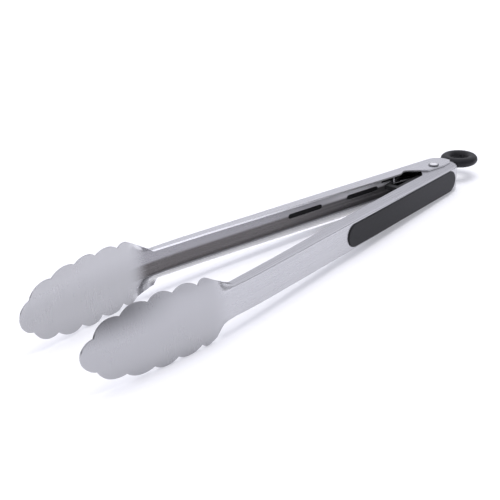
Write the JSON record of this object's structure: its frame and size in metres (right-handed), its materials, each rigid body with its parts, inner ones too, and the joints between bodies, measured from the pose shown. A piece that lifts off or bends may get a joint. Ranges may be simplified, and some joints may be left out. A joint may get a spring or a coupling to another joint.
{
  "type": "kitchen tongs",
  "caption": "Spring loaded kitchen tongs with stamped channel arms, scalloped spoon tips, soft grips on the handles and a pull ring that locks them shut.",
  "frame": {"origin": "under the middle of the bounding box, at the level of the lowest scallops of the tips, arms sprung open", "axes": "+X runs from the tips to the pull ring, +Y from the inner arm to the outer arm, +Z along the pivot, up as it lies on its side"},
  "size_m": [0.3308, 0.0682, 0.0386],
  "materials": {
    "arm_steel": "fine brushed stainless sheet",
    "grip_rubber": "matte charcoal soft pad",
    "rivet_steel": "bright plain steel",
    "spring_wire": "drawn spring wire",
    "lock_black": "black coated steel",
    "ring_black": "smooth black moulding"
  },
  "bodies": {
    "inner_arm": {"inner_arm": "arm_steel", "inner_arm_grip": "grip_rubber", "pivot_rivet": "rivet_steel", "pivot_sleeve": "rivet_steel", "torsion_spring": "spring_wire"},
    "outer_arm": {"outer_arm": "arm_steel", "outer_arm_grip": "grip_rubber"},
    "pull_lock": {"lock_bar": "lock_black", "pull_ring": "ring_black"}
  },
  "joints": [
    {"name": "arm_pivot", "type": "hinge", "parent": "inner_arm", "child": "outer_arm", "pos_m": [0.12164, 0, 0.0193], "axis": [0, 0, 1], "range_deg": [0, 9.9], "stiffness_Nm_per_rad": 1.2, "springref_deg": -11.46, "deforming": ["torsion_spring"]},
    {"name": "lock_slide", "type": "slide", "parent": "inner_arm", "child": "pull_lock", "axis": [0.9938, 0.1115, 0], "range_m": [0, 0.007]}
  ]
}
